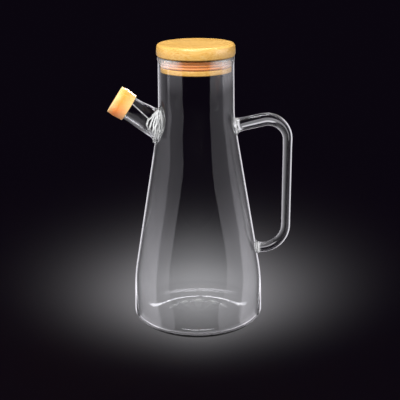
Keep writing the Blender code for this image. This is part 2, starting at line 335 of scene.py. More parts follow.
seam_along = np.arange(*SEAM_ZONE, SEAM_SPACING)
tube_along = np.arange(SEAM_ZONE[1], SPOUT_LENGTH, TUBE_SPACING)
along = np.concatenate([SPOUT_SUNK_ROWS, seam_along, tube_along])
along[-1] = SPOUT_LENGTH
outside_radius = tube_radius(along) + SPOUT_COLLAR * np.exp(-np.clip(along, 0.0, None) / SPOUT_COLLAR_FADE)
outside_radius = np.repeat(outside_radius[:, None], SPOUT_STEPS, axis=1)


def seam_bells(along, turn):
    """For each fused seam the bell exp(-(d / width)^2) of the distance d to it, this far along the spout and
    at this turn. A seam bulges outwards on both sides of the tube and wobbles a little."""
    bells = []
    for number, bulge in enumerate(SEAM_BULGES):
        wobble = sum(rise * np.sin(waves * turn + shift * number) for rise, waves, shift in SEAM_WAVES)
        distance = along - (SEAM_START + bulge * np.sin(turn) ** 2 + wobble)
        bells.append(np.exp(-((distance / SEAM_WIDTH) ** 2)))
    return np.array(bells)


outside_radius = outside_radius + SEAM_HEIGHT * seam_bells(along[:, None], spout_turn[None, :]).sum(axis=0)
meets = along_to_wall(SPOUT_ROOT_RADIUS, outer_wall)
spout = build("spout_tube", spout_rows(along, outside_radius, meets))

# The bore goes right through the neck wall and flares a little there
BORE_ROOT = -9.0
BORE_FINE_END = 6.0
BORE_FINE_SPACING = 0.3
BORE_PAST_END = 3.0
BORE_FLARE = 1.0
BORE_FLARE_START = -2.0
BORE_FLARE_FADE = 1.2

fine_along = np.arange(BORE_ROOT, BORE_FINE_END, BORE_FINE_SPACING)
bore_along = np.append(fine_along, np.arange(BORE_FINE_END, SPOUT_LENGTH + BORE_PAST_END, TUBE_SPACING))
flare = BORE_FLARE * np.exp(-np.clip(bore_along - BORE_FLARE_START, 0.0, None) / BORE_FLARE_FADE)
bore_width = np.repeat((tube_radius(bore_along) - SPOUT_WALL + flare)[:, None], SPOUT_STEPS, axis=1)
bore = build("spout_bore", spout_rows(bore_along, bore_width, meets))

# Inside the neck the fused rim of the hole stands up as two uneven beads
RIM_RADII = (10.6, 12.4)
RIM_BEAD = 0.75
RIM_STEPS = 20
# Waves of a bead: share of its radius and number round the hole
RIM_SLOW_WAVES = (0.2, 5.0)
RIM_FAST_WAVES = (0.12, 11.0)


def rim_rows(radius):
    """A bead round the hole, inside the neck: a small circle carried along the line where a cylinder of that
    radius about the spout's axis meets the inner wall, and swelling and shrinking a little on its way."""
    reach = along_to_wall(radius, inner_wall)
    centre = SPOUT_ROOT + reach[:, None] * spout_axis + radius * spout_ring
    inward = -centre * np.array([1.0, 1.0, 0.0])
    inward = inward / np.linalg.norm(inward, axis=1)[:, None]
    slow = RIM_SLOW_WAVES[0] * np.sin(RIM_SLOW_WAVES[1] * spout_turn + radius)
    fast = RIM_FAST_WAVES[0] * np.sin(RIM_FAST_WAVES[1] * spout_turn)
    swell = RIM_BEAD * (1.0 + slow + fast)
    turn = np.linspace(0.0, 2.0 * math.pi, RIM_STEPS, endpoint=False)
    offset = np.cos(turn)[:, None, None] * spout_ring[None] + np.sin(turn)[:, None, None] * inward[None]
    rows = centre[None] + swell[None, :, None] * offset
    return rows.transpose(1, 0, 2)


rims = [build(f"spout_rim_{radius}", rim_rows(radius), ring=True) for radius in RIM_RADII]

# The handle is a rod whose centre line lies in the plane of the spout
HANDLE_GRIP_X = 68.3
HANDLE_TOP_CENTRE = (52.8, 145.0)
HANDLE_TOP_SLOPE = math.radians(12.0)
HANDLE_TOP_BEND = HANDLE_GRIP_X - HANDLE_TOP_CENTRE[0]
HANDLE_TOP_X = 27.4
HANDLE_LOW_Z = 58.5
HANDLE_LOW_BEND = 18.5
HANDLE_LOW_X = 43.6
HANDLE_RADII = (4.9, 4.9, 3.45, 3.45, 3.8)
HANDLE_STATIONS = (0.0, 0.17, 0.32, 0.75, 1.0)
HANDLE_EASING = 31
HANDLE_WELD_SWELL = 2.6
HANDLE_WELD_START = 1.2
HANDLE_WELD_FADE = 1.7
HANDLE_LUMPS = 0.28
# Lumps of a weld: share, number round the rod, turn, and waves per millimetre times two pi
COARSE_LUMPS = (1.0, 3.0, 0.0, 1.9)
FINE_LUMPS = (0.7, 7.0, 1.0, 3.1)
HANDLE_STEPS = 56
HANDLE_SPACING = 0.6

tangent_x = HANDLE_TOP_CENTRE[0] - HANDLE_TOP_BEND * math.sin(HANDLE_TOP_SLOPE)
tangent_z = HANDLE_TOP_CENTRE[1] + HANDLE_TOP_BEND * math.cos(HANDLE_TOP_SLOPE)
start_z = tangent_z - (tangent_x - HANDLE_TOP_X) * math.tan(HANDLE_TOP_SLOPE)
corner_z = tangent_z + (HANDLE_GRIP_X - tangent_x) * math.tan(HANDLE_TOP_SLOPE)
route = rounded(
    [
        (HANDLE_TOP_X, start_z, 0.0),
        (HANDLE_GRIP_X, corner_z, HANDLE_TOP_BEND),
        (HANDLE_GRIP_X, HANDLE_LOW_Z, HANDLE_LOW_BEND),
        (HANDLE_LOW_X, HANDLE_LOW_Z, 0.0),
    ],
    HANDLE_SPACING,
)
route = resampled(route, HANDLE_SPACING)


def rod_rows(route):
    """A circle carried along the route. Its radius eases from station to station, and swells towards each end
    by an exponential of the distance from the wall, with small lumps where the glass was fused."""
    ahead = np.gradient(route, axis=0)
    ahead = ahead / np.linalg.norm(ahead, axis=1)[:, None]
    normal = np.stack([-ahead[:, 1], np.zeros(len(ahead)), ahead[:, 0]], axis=1)
    share = np.linspace(0.0, 1.0, len(route))
    radius = np.interp(share, HANDLE_STATIONS, HANDLE_RADII)
    kernel = np.ones(HANDLE_EASING) / HANDLE_EASING
    radius = np.convolve(np.pad(radius, HANDLE_EASING // 2, mode="edge"), kernel, mode="valid")
    from_end = np.minimum(share, 1.0 - share) * HANDLE_SPACING * len(route)
    from_wall = np.clip(from_end - HANDLE_WELD_START, 0.0, None)
    turn = np.linspace(0.0, 2.0 * math.pi, HANDLE_STEPS, endpoint=False)
    weld = np.exp(-from_wall / HANDLE_WELD_FADE)
    lumps = 0.0
    for (part, waves, shift, step), wave in ((COARSE_LUMPS, np.sin), (FINE_LUMPS, np.cos)):
        lumps = lumps + part * np.sin(waves * turn + shift)[None, :] * wave(from_wall * step)[:, None]
    radius = radius[:, None] + (HANDLE_WELD_SWELL + HANDLE_LUMPS * lumps) * weld[:, None]
    centre = np.stack([route[:, 0], np.zeros(len(route)), route[:, 1]], axis=1)
    around = np.cos(turn)[None, :, None] * normal[:, None, :]
    around = around + np.sin(turn)[None, :, None] * np.array([0.0, 1.0, 0.0])
    return centre[:, None, :] + radius[:, :, None] * around


rod = build("handle_rod", rod_rows(route))

FUSED_SHARP = math.radians(50.0)

fuse(bottle, [spout, rod], "UNION")
fuse(bottle, [hollow, bore], "DIFFERENCE")
fuse(bottle, rims, "UNION")
bottle.data.shade_smooth()
bottle.data.set_sharp_from_angle(angle=FUSED_SHARP)

# Where glass was fused it stays a little milky with fine bubbles. The same milky layer also paints a
# highlight line along the tube, a highlight on the ripple in the back of the base and a reflection on the
# sides of the lip.
# Reach is the distance from the spout's axis, and the skin is how deep under a surface the milky layer may
# lie.
MILK_AND_HIGHLIGHT_MOST = 1.6
SPOUT_SIDE = -20.0
TUBE_REACH = (7.4, 13.5)
TUBE_SKIN = 0.2
SEAM_MILK = 1.1
SEAM_CREST = 2.2
FAN_SEAMS = 3
FAN_TURN = (math.radians(228.0), math.radians(262.0))
BEAD_SIDE = -10.0
BEAD_REACH = (9.3, 13.7)
BEAD_SKIN = 0.1
INNER_BEAD_MILK = 0.15
OUTER_BEAD_MILK = 0.8
OUTER_BEAD_FROM = 11.9
PAINTED_HIGHLIGHT_LINE = 0.7
PAINTED_HIGHLIGHT_LINE_ALONG = (8.0, 25.0)
PAINTED_HIGHLIGHT_LINE_TURN = (math.radians(285.0), math.radians(308.0))
PAINTED_HIGHLIGHT_LINE_WIDTH = 0.33
ROD_MILK = 1.6
ROD_SIDE = 20.0
# The welds of the rod: height of the middle and half height
ROD_ENDS = ((start_z, 6.6), (HANDLE_LOW_Z, 5.4))
ROD_END_SOFTNESS = 8
ROD_MILK_LENGTH = 1.5
ROD_RAGGED = 0.5
ROD_RAGS_ROUND = 3.0
ROD_RAGS_UP = 1.7
PAINTED_RIPPLE_HIGHLIGHT = 2.4
PAINTED_RIPPLE_HIGHLIGHT_WIDTH = 1.5
PAINTED_RIPPLE_HIGHLIGHT_HEIGHTS = (1.0, 3.0)
PAINTED_RIPPLE_HIGHLIGHT_FRONT = 0.35
# Waves of the painted highlight on the ripple: sideways and in strength, each with its size and number round
# the bottle
RIPPLE_WEAVE = (0.5, 29.0)
RIPPLE_PATCHES = (0.45, 13.0)
LIP_PAINTED_REFLECTION = 0.35
LIP_PAINTED_REFLECTION_SIDES = (0.35, 0.75)
# How often the place along the tube is worked out again to take the shift to the wall back out of it
PLACE_ROUNDS = 6


def milk_and_highlight_of(points):
    """How milky each point in millimetres is: bells of the distance to the fused seams of the spout, to a
    painted highlight line along its tube, to the two ends of the rod and to the ripple in the base, where it
    is a painted highlight, and even on the beads round the hole and, as a painted reflection, on the sides of
    the lip."""
    from_root = points - SPOUT_ROOT
    upward = from_root @ spout_top
    reach = np.hypot(upward, points[:, 1])
    turn = np.mod(np.arctan2(points[:, 1], upward), 2.0 * math.pi)
    shift = np.interp(turn, spout_turn, meets, period=2.0 * math.pi)
    out = from_root @ spout_axis
    place = out
    for _ in range(PLACE_ROUNDS):
        place = out - root_share(place) * shift
    tube = (points[:, 0] < SPOUT_SIDE) & (reach > TUBE_REACH[0]) & (reach < TUBE_REACH[1])
    front = np.clip((turn - FAN_TURN[0]) / (FAN_TURN[1] - FAN_TURN[0]), 0.0, 1.0)
    strokes = seam_bells(place, turn) ** SEAM_CREST
    strokes[:FAN_SEAMS] = strokes[:FAN_SEAMS] * front
    milk_and_highlight = SEAM_MILK * strokes.max(axis=0) * tube
    from_axis = np.hypot(points[:, 0], points[:, 1])
    inner = np.interp(points[:, 2], inner_wall[:, 1], inner_wall[:, 0])
    bead = (points[:, 0] < BEAD_SIDE) & (inner - from_axis > BEAD_SKIN)
    bead = bead & (reach > BEAD_REACH[0]) & (reach < BEAD_REACH[1])
    milk_and_highlight = np.maximum(milk_and_highlight, np.where(reach > OUTER_BEAD_FROM, OUTER_BEAD_MILK, INNER_BEAD_MILK) * bead)
    # Painted highlight: a thin bright line along the tube, laid on as milky glass.
    line = reach * (turn - np.interp(place, PAINTED_HIGHLIGHT_LINE_ALONG, PAINTED_HIGHLIGHT_LINE_TURN))
    on_highlight_line = tube & (reach > tube_radius(place) - TUBE_SKIN)
    on_highlight_line = on_highlight_line & (place > PAINTED_HIGHLIGHT_LINE_ALONG[0]) & (place < PAINTED_HIGHLIGHT_LINE_ALONG[1])
    milk_and_highlight = np.maximum(milk_and_highlight, PAINTED_HIGHLIGHT_LINE * np.exp(-((line / PAINTED_HIGHLIGHT_LINE_WIDTH) ** 2)) * on_highlight_line)
    outer = np.interp(points[:, 2], outer_wall[:, 1], outer_wall[:, 0])
    for height, half in ROD_ENDS:
        beside = np.hypot(points[:, 1], points[:, 2] - height) / half
        ragged = 1.0 + ROD_RAGGED * np.sin(ROD_RAGS_ROUND * turn) * np.sin(ROD_RAGS_UP * points[:, 2])
        fall = np.clip(from_axis - outer, 0.0, None) / (ROD_MILK_LENGTH * ragged)
        end = np.exp(-(fall**2)) * (points[:, 0] > ROD_SIDE) * (from_axis > outer - TUBE_SKIN)
        milk_and_highlight = np.maximum(milk_and_highlight, ROD_MILK * end * np.exp(-(beside**ROD_END_SOFTNESS)))
    # Painted highlight: a bright dashed ring in the back of the base, laid on as milky glass.
    spin = np.arctan2(points[:, 1], points[:, 0])
    weave = RIPPLE_WEAVE[0] * np.sin(RIPPLE_WEAVE[1] * spin)
    patches = 1.0 - RIPPLE_PATCHES[0] + RIPPLE_PATCHES[0] * np.sin(RIPPLE_PATCHES[1] * spin)
    ring = np.exp(-(((from_axis - RIPPLE_RADIUS - weave) / PAINTED_RIPPLE_HIGHLIGHT_WIDTH) ** 2)) * patches
    ring = ring * np.clip(np.sin(spin) - PAINTED_RIPPLE_HIGHLIGHT_FRONT, 0.0, 1.0)
    ring = ring * (points[:, 2] > PAINTED_RIPPLE_HIGHLIGHT_HEIGHTS[0]) * (points[:, 2] < PAINTED_RIPPLE_HIGHLIGHT_HEIGHTS[1])
    milk_and_highlight = np.maximum(milk_and_highlight, PAINTED_RIPPLE_HIGHLIGHT * ring)
    # Painted reflection: the left and right sides of the lip turn milky, as if they mirrored something
    # bright.
    to_side = np.abs(points[:, 0]) / np.maximum(from_axis, 1.0)
    to_side = np.clip((to_side - LIP_PAINTED_REFLECTION_SIDES[0]) / (LIP_PAINTED_REFLECTION_SIDES[1] - LIP_PAINTED_REFLECTION_SIDES[0]), 0.0, 1.0)
    milk_and_highlight = np.maximum(milk_and_highlight, LIP_PAINTED_REFLECTION * to_side * (points[:, 2] > LIP_START))
    return np.clip(milk_and_highlight, 0.0, MILK_AND_HIGHLIGHT_MOST)


bottle_points = np.zeros(3 * len(bottle.data.vertices))
bottle.data.vertices.foreach_get("co", bottle_points)
milk_and_highlight = milk_and_highlight_of(bottle_points.reshape(-1, 3) / MM)
bottle.data.attributes.new("milk_and_highlight", "FLOAT", "POINT").data.foreach_set("value", milk_and_highlight)


def linear(colour):
    """A colour given as an sRGB hex text, as linear red, green, blue and one: a channel above 0.04045 is
    ((c + 0.055) / 1.055) to the power 2.4, and c / 12.92 below it."""
    channels = [int(colour[at : at + 2], 16) / 255.0 for at in (1, 3, 5)]
    channels = [((c + 0.055) / 1.055) ** 2.4 if c > 0.04045 else c / 12.92 for c in channels]
    return (*channels, 1.0)


def add(tree, kind, inputs, **settings):
    """Adds a node with its settings, and gives each named input a value or a link from another socket."""
    node = tree.nodes.new(kind)
    for name, value in settings.items():
        setattr(node, name, value)
    for name, value in inputs.items():
        socket = node.inputs[name]
        if isinstance(value, bpy.types.NodeSocket):
            tree.links.new(value, socket)
        else:
            socket.default_value = value
    return node


def material(name):
    """An empty node material with its output node."""
    made = bpy.data.materials.new(name)
    made.use_nodes = True
    made.node_tree.nodes.clear()
    return made, made.node_tree, made.node_tree.nodes.new("ShaderNodeOutputMaterial")


# Clear borosilicate, drawn and flame-polished: no colour and no texture. In the milky places it scatters
# light instead of letting it through, in grains drawn larger than real bubbles so that they show. Some of
# these places are painted highlights and a painted reflection rather than fused glass.
GLASS_COLOUR = "#FCFDFD"
GLASS_IOR = 1.473
MILK_GRAIN = 0.9
MILK_GRAIN_FROM = (0.3, 0.7)
MILK_GRAIN_TO = (0.5, 1.15)
MILK_ROUGHNESS = 0.35

clear_glass, tree, output = material("flame-polished borosilicate glass")
place = add(tree, "ShaderNodeTexCoord", {}).outputs["Object"]
milk_and_highlight = add(tree, "ShaderNodeAttribute", {}, attribute_name="milk_and_highlight").outputs["Fac"]
grain = add(tree, "ShaderNodeTexNoise", {"Vector": place, "Scale": 1.0 / (MILK_GRAIN * MM), "Detail": 2.0})
grain = {"Value": grain.outputs["Fac"], "From Min": MILK_GRAIN_FROM[0], "From Max": MILK_GRAIN_FROM[1]}
grain |= {"To Min": MILK_GRAIN_TO[0], "To Max": MILK_GRAIN_TO[1]}
grain = add(tree, "ShaderNodeMapRange", grain)
cloud = {0: milk_and_highlight, 1: grain.outputs["Result"]}
cloud = add(tree, "ShaderNodeMath", cloud, operation="MULTIPLY", use_clamp=True)
through = add(tree, "ShaderNodeMath", {0: 1.0, 1: cloud.outputs[0]}, operation="SUBTRACT")
rough = add(tree, "ShaderNodeMath", {0: cloud.outputs[0], 1: MILK_ROUGHNESS}, operation="MULTIPLY")
finish = {"Base Color": linear(GLASS_COLOUR), "IOR": GLASS_IOR, "Roughness": rough.outputs[0]}
finish |= {"Transmission Weight": through.outputs[0]}
shader = add(tree, "ShaderNodeBsdfPrincipled", finish)
tree.links.new(shader.outputs["BSDF"], output.inputs["Surface"])
bottle.data.materials.clear()
bottle.data.materials.append(clear_glass)
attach(bottle, "root")
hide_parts("glass_bottle")


# Seal
# A ring of translucent silicone with three ribs, stretched into the groove of the plug, where its ribs press
# on the inside of the neck.

SEAL_BOTTOM = 201.1
SEAL_HEIGHT = 6.2
SEAL_RIBS = 3
SEAL_RIB_RADIUS = 26.0
SEAL_GROOVE_RADIUS = 25.35
SEAL_INNER_RADIUS = 22.9
SEAL_RIB_FULLNESS = 0.6
SEAL_RIB_POINTS = 91
SEAL_STEPS = 160

pitch = SEAL_HEIGHT / SEAL_RIBS
height = np.linspace(0.0, SEAL_HEIGHT, SEAL_RIB_POINTS)
wave = 0.5 - 0.5 * np.cos(2.0 * math.pi * height / pitch)
rib_line = SEAL_GROOVE_RADIUS + (SEAL_RIB_RADIUS - SEAL_GROOVE_RADIUS) * wave**SEAL_RIB_FULLNESS
outer_side = np.stack([rib_line, SEAL_BOTTOM + height], axis=1)
inner_side = np.array([(SEAL_INNER_RADIUS, SEAL_BOTTOM + SEAL_HEIGHT), (SEAL_INNER_RADIUS, SEAL_BOTTOM)])
seal = build("ribbed_seal", turned(np.concatenate([outer_side, inner_side]), SEAL_STEPS), ring=True)

# Moulded silicone, orange where one looks straight into it, with faint clouds. Edge-on it turns pale, a
# painted reflection laid into its colour by the viewing angle. A tone is a position on the ramp and a colour.
SEAL_TONES_AND_PAINTED_REFLECTION = ((0.30, "#E08C48"), (0.95, "#E6CBB8"))
SEAL_CLOUD_SIZE = 6.0
SEAL_CLOUD_SHARE = 0.3

seal_silicone, tree, output = material("moulded translucent silicone")
place = add(tree, "ShaderNodeTexCoord", {}).outputs["Object"]
cloudy = {"Vector": place, "Scale": 1.0 / (SEAL_CLOUD_SIZE * MM), "Detail": 2.0}
cloudy = add(tree, "ShaderNodeTexNoise", cloudy).outputs["Fac"]
# Painted reflection: the colour turns pale where the surface is seen edge-on.
edge_on = add(tree, "ShaderNodeLayerWeight", {"Blend": 0.5}).outputs["Facing"]
tone_and_reflection = add(tree, "ShaderNodeMath", {0: cloudy, 1: SEAL_CLOUD_SHARE, 2: edge_on}, operation="MULTIPLY_ADD")
tones = add(tree, "ShaderNodeValToRGB", {"Fac": tone_and_reflection.outputs[0]})
for stop, (position, colour) in zip(tones.color_ramp.elements, SEAL_TONES_AND_PAINTED_REFLECTION):
    stop.position = position
    stop.color = linear(colour)
finish = {"Base Color": tones.outputs["Color"], "Roughness": 0.55, "IOR": 1.41}
finish |= {"Subsurface Weight": 0.1, "Subsurface Scale": 0.001}
shader = add(tree, "ShaderNodeBsdfPrincipled", finish)
tree.links.new(shader.outputs["BSDF"], output.inputs["Surface"])
seal.data.materials.append(seal_silicone)
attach(seal, "root")
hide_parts("silicone_seal")


# Lid
# Turned from one block of laminated bamboo: a disc with softened edges over a plug, which has a groove for
# the seal and a flange under it. It is sanded and lightly oiled.

LID_TOP = 217.3
LID_UNDERSIDE = BODY_HEIGHT + 0.3
LID_TOP_RADIUS = 28.1
LID_BELLY = (28.95, 213.0, 14.0)
LID_LOW_RADIUS = 28.5
LID_TOP_EDGE = 2.2
LID_LOW_EDGE = 1.3
PLUG_CORE_RADIUS = 22.6
PLUG_CORE_SLANT = 0.3
PLUG_CORNER = 0.25
PLUG_RADIUS = 26.0
PLUG_BOTTOM = 197.1
PLUG_FLANGE_TOP = 200.8
PLUG_FLANGE_EDGE = 0.35
PLUG_EDGE = 0.9
LID_CENTRE = 4.0
LID_SPACING = 0.12
LID_STEPS = 192

lid_line = rounded(
    [
        (LID_CENTRE, LID_TOP, 0.0),
        (LID_TOP_RADIUS, LID_TOP, LID_TOP_EDGE),
        LID_BELLY,
        (LID_LOW_RADIUS, LID_UNDERSIDE, LID_LOW_EDGE),
        (PLUG_CORE_RADIUS + PLUG_CORE_SLANT, LID_UNDERSIDE, PLUG_CORNER),
        (PLUG_CORE_RADIUS, PLUG_FLANGE_TOP, PLUG_CORNER),
        (PLUG_RADIUS, PLUG_FLANGE_TOP, PLUG_FLANGE_EDGE),
        (PLUG_RADIUS, PLUG_BOTTOM, PLUG_EDGE),
        (LID_CENTRE, PLUG_BOTTOM, 0.0),
    ],
    LID_SPACING,
)
lid = build("turned_lid", turned(lid_line, LID_STEPS), sharp=50.0)

# Laminated bamboo: glued strips that differ a little in tone, long fibres, and dark vessel ends low on the
# side. The fibres are drawn a little coarser than real ones so that they show. The oil gives a soft gloss.
BAMBOO_DARK = (0.30, "#D69B41")
BAMBOO_MIDDLE = (0.46, "#EDB75C")
BAMBOO_LIGHT = (0.72, "#F6CB7E")
FIBRE_WIDTH = 0.7
FIBRE_LENGTH = 22.0
STRIP_WIDTH = 9.5
STRIP_TONE = 0.1
SPECK_SIZE = 0.45
SPECK_RANGE = (0.60, 0.72)
SPECK_TONE = "#A8701E"
SPECK_HEIGHTS = (215.5, 210.5)

bamboo, tree, output = material("oiled laminated bamboo")
place = add(tree, "ShaderNodeTexCoord", {}).outputs["Object"]
fibre_scale = [1.0 / (size * MM) for size in (FIBRE_LENGTH, FIBRE_WIDTH, FIBRE_WIDTH)]
along_fibre = add(tree, "ShaderNodeMapping", {"Vector": place, "Scale": fibre_scale})
fibres = {"Vector": along_fibre.outputs["Vector"], "Scale": 1.0, "Detail": 3.0, "Roughness": 0.55}
fibres = add(tree, "ShaderNodeTexNoise", fibres)
tones = add(tree, "ShaderNodeValToRGB", {"Fac": fibres.outputs["Fac"]})
for stop, (position, colour) in zip(tones.color_ramp.elements, (BAMBOO_DARK, BAMBOO_LIGHT)):
    stop.position = position
    stop.color = linear(colour)
tones.color_ramp.elements.new(BAMBOO_MIDDLE[0]).color = linear(BAMBOO_MIDDLE[1])
sides = add(tree, "ShaderNodeSeparateXYZ", {"Vector": place})
strip = add(tree, "ShaderNodeMath", {0: sides.outputs["Y"], 1: STRIP_WIDTH * MM}, operation="DIVIDE")
strip = add(tree, "ShaderNodeMath", {0: strip.outputs[0]}, operation="FLOOR")
strip = add(tree, "ShaderNodeTexWhiteNoise", {"W": strip.outputs[0]}, noise_dimensions="1D").outputs["Value"]
strip = add(tree, "ShaderNodeMapRange", {"Value": strip, "To Min": 1.0 - STRIP_TONE, "To Max": 1.0})
shade = {0: tones.outputs["Color"], "Scale": strip.outputs["Result"]}
shade = add(tree, "ShaderNodeVectorMath", shade, operation="SCALE")
specks = add(tree, "ShaderNodeTexNoise", {"Vector": place, "Scale": 1.0 / (SPECK_SIZE * MM), "Detail": 1.0})
specks = {"Value": specks.outputs["Fac"], "From Min": SPECK_RANGE[0], "From Max": SPECK_RANGE[1]}
specks = add(tree, "ShaderNodeMapRange", specks).outputs["Result"]
low = {"Value": sides.outputs["Z"], "From Min": SPECK_HEIGHTS[0] * MM, "From Max": SPECK_HEIGHTS[1] * MM}
low = add(tree, "ShaderNodeMapRange", low).outputs["Result"]
share = add(tree, "ShaderNodeMath", {0: specks, 1: low}, operation="MULTIPLY").outputs[0]
mixed = {0: share, 6: shade.outputs[0], 7: linear(SPECK_TONE)}
mixed = add(tree, "ShaderNodeMix", mixed, data_type="RGBA")
finish = {"Base Color": mixed.outputs[2], "Roughness": 0.5, "IOR": 1.5}
finish |= {"Coat Weight": 0.22, "Coat Roughness": 0.22}
shader = add(tree, "ShaderNodeBsdfPrincipled", finish)
tree.links.new(shader.outputs["BSDF"], output.inputs["Surface"])
lid.data.materials.append(bamboo)
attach(lid, "root")
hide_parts("bamboo_lid")


# Spout cap
# A soft silicone sleeve with a closed end, pushed over the mouth of the spout, slightly barrel-shaped.

CAP_LENGTH = 12.6
CAP_END_RADIUS = 10.58
CAP_BELLY_RADIUS = 11.1
CAP_BELLY_FROM_END = 4.5
CAP_BELLY_BEND = 6.0
CAP_END_WALL = 2.0
CAP_END_EDGE = 0.5
CAP_RIM_EDGES = (0.45, 0.25)
CAP_INNER_EDGE = 0.4
CAP_GAP = 0.3
CAP_CENTRE = 2.0
CAP_SPACING = 0.12

cap_end = SPOUT_LENGTH + CAP_GAP + CAP_END_WALL
cap_rim = cap_end - CAP_LENGTH
cap_bore = SPOUT_RADIUS + CAP_GAP
cap_line = rounded(
    [
        (CAP_CENTRE, cap_end, 0.0),
        (CAP_END_RADIUS, cap_end, CAP_END_EDGE),
        (CAP_BELLY_RADIUS, cap_end - CAP_BELLY_FROM_END, CAP_BELLY_BEND),
        (CAP_END_RADIUS, cap_rim, CAP_RIM_EDGES[0]),
        (cap_bore, cap_rim, CAP_RIM_EDGES[1]),
        (cap_bore, SPOUT_LENGTH + CAP_GAP, CAP_INNER_EDGE),
        (CAP_CENTRE, SPOUT_LENGTH + CAP_GAP, 0.0),
    ],
    CAP_SPACING,
)
cap_rows = SPOUT_ROOT + cap_line[:, None, 1:] * spout_axis + cap_line[:, None, :1] * spout_ring[None, :, :]
cap = build("soft_cap", cap_rows)

# Both end edges get a painted highlight: a pale yellow mixed into the colour near each edge
CAP_EDGE_HIGHLIGHT_TONE = "#FFF0B0"
CAP_EDGE_HIGHLIGHT_SHARE = 0.75
CAP_EDGE_HIGHLIGHT_WIDTH = 0.55
CAP_SKIN = 0.1

cap_points = np.concatenate([cap_rows.reshape(-1, 3), cap_rows[:1].mean(axis=1), cap_rows[-1:].mean(axis=1)])
cap_along = (cap_points - SPOUT_ROOT) @ spout_axis
cap_reach = np.linalg.norm(cap_points - SPOUT_ROOT - cap_along[:, None] * spout_axis, axis=1)
to_edge = np.minimum(np.abs(cap_along - cap_end), np.abs(cap_along - cap_rim))
# The pale attribute is the share of the painted highlight on the edges.
pale = CAP_EDGE_HIGHLIGHT_SHARE * np.exp(-((to_edge / CAP_EDGE_HIGHLIGHT_WIDTH) ** 2)) * (cap_reach > cap_bore + CAP_SKIN)
cap.data.attributes.new("pale", "FLOAT", "POINT").data.foreach_set("value", pale)

# Moulded orange silicone with a satin skin and faint clouds. Its colour runs from a deeper orange at its
# lower end to a yellower, lighter one at the top, which is painted light falling from above. A tone is a
# position on the ramp and a colour.
CAP_LOW_TONE = (0.15, "#FF8F48")
CAP_MIDDLE_TONE = (0.6, "#FF9C46")
CAP_TOP_TONE = (1.0, "#F0BE52")
CAP_PAINTED_LIGHT_HEIGHTS = (163.0, 192.0)
CAP_CLOUD_SIZE = 5.0
CAP_CLOUD_SHARE = 0.2

cap_silicone, tree, output = material("moulded orange silicone")
place = add(tree, "ShaderNodeTexCoord", {}).outputs["Object"]
clouds = {"Vector": place, "Scale": 1.0 / (CAP_CLOUD_SIZE * MM), "Detail": 1.0}
clouds = add(tree, "ShaderNodeTexNoise", clouds).outputs["Fac"]
# Painted light: the colour grows lighter and yellower with height, as if lit from above.
level = add(tree, "ShaderNodeSeparateXYZ", {"Vector": place}).outputs["Z"]
level = {"Value": level, "From Min": CAP_PAINTED_LIGHT_HEIGHTS[0] * MM, "From Max": CAP_PAINTED_LIGHT_HEIGHTS[1] * MM}
level = add(tree, "ShaderNodeMapRange", level).outputs["Result"]
level = add(tree, "ShaderNodeMath", {0: clouds, 1: CAP_CLOUD_SHARE, 2: level}, operation="MULTIPLY_ADD")
pale = add(tree, "ShaderNodeAttribute", {}, attribute_name="pale").outputs["Fac"]
tones = add(tree, "ShaderNodeValToRGB", {"Fac": level.outputs[0]})
for stop, (position, colour) in zip(tones.color_ramp.elements, (CAP_LOW_TONE, CAP_TOP_TONE)):
    stop.position = position
    stop.color = linear(colour)
tones.color_ramp.elements.new(CAP_MIDDLE_TONE[0]).color = linear(CAP_MIDDLE_TONE[1])
# Mixes the painted edge highlight into the colour.
edged = {0: pale, 6: tones.outputs["Color"], 7: linear(CAP_EDGE_HIGHLIGHT_TONE)}
edged = add(tree, "ShaderNodeMix", edged, data_type="RGBA")
finish = {"Base Color": edged.outputs[2], "Roughness": 0.4, "IOR": 1.41}
finish |= {"Subsurface Weight": 0.2, "Subsurface Scale": 0.002}
shader = add(tree, "ShaderNodeBsdfPrincipled", finish)
tree.links.new(shader.outputs["BSDF"], output.inputs["Surface"])
cap.data.materials.append(cap_silicone)
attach(cap, "root")
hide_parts("spout_cap")
cap.visible_glossy = False


# Floor
# A plain pale sheet. The light pool on it is round and soft, and the rest of the room is almost dark.

ROOM_TINT = "#0B070F"
ROOM_STRENGTH = 1.35
FLOOR_COLOUR = "#D8D6DA"
FLOOR_DROP = 0.2
FLOOR_SIZE = 14000.0

floor_half = 0.5 * FLOOR_SIZE * MM
floor_mesh = bpy.data.meshes.new("floor")
floor_signs = ((-1, -1), (1, -1), (1, 1), (-1, 1))
floor_corners = [(x * floor_half, y * floor_half, -FLOOR_DROP * MM) for x, y in floor_signs]
floor_mesh.from_pydata(floor_corners, [], [(0, 1, 2, 3)])
floor = bpy.data.objects.new("floor", floor_mesh)
scene.collection.objects.link(floor)
floor_finish, tree, output = material("pale matt paper")
shader = add(tree, "ShaderNodeBsdfDiffuse", {"Color": linear(FLOOR_COLOUR)})
tree.links.new(shader.outputs["BSDF"], output.inputs["Surface"])
floor_mesh.materials.append(floor_finish)
floor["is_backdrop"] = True

world = bpy.data.worlds.new("dim room")
world.use_nodes = True
room = world.node_tree.nodes["Background"]
room.inputs["Color"].default_value = linear(ROOM_TINT)
room.inputs["Strength"].default_value = ROOM_STRENGTH
scene.world = world
scene.view_settings.view_transform = "Standard"


# Lamps
# A large soft box lights the wood and the silicone, small soft lamps fill their sides and edges, one lamp
# lights the milky glass, and a snooted lamp low in front makes the round pool on the floor.

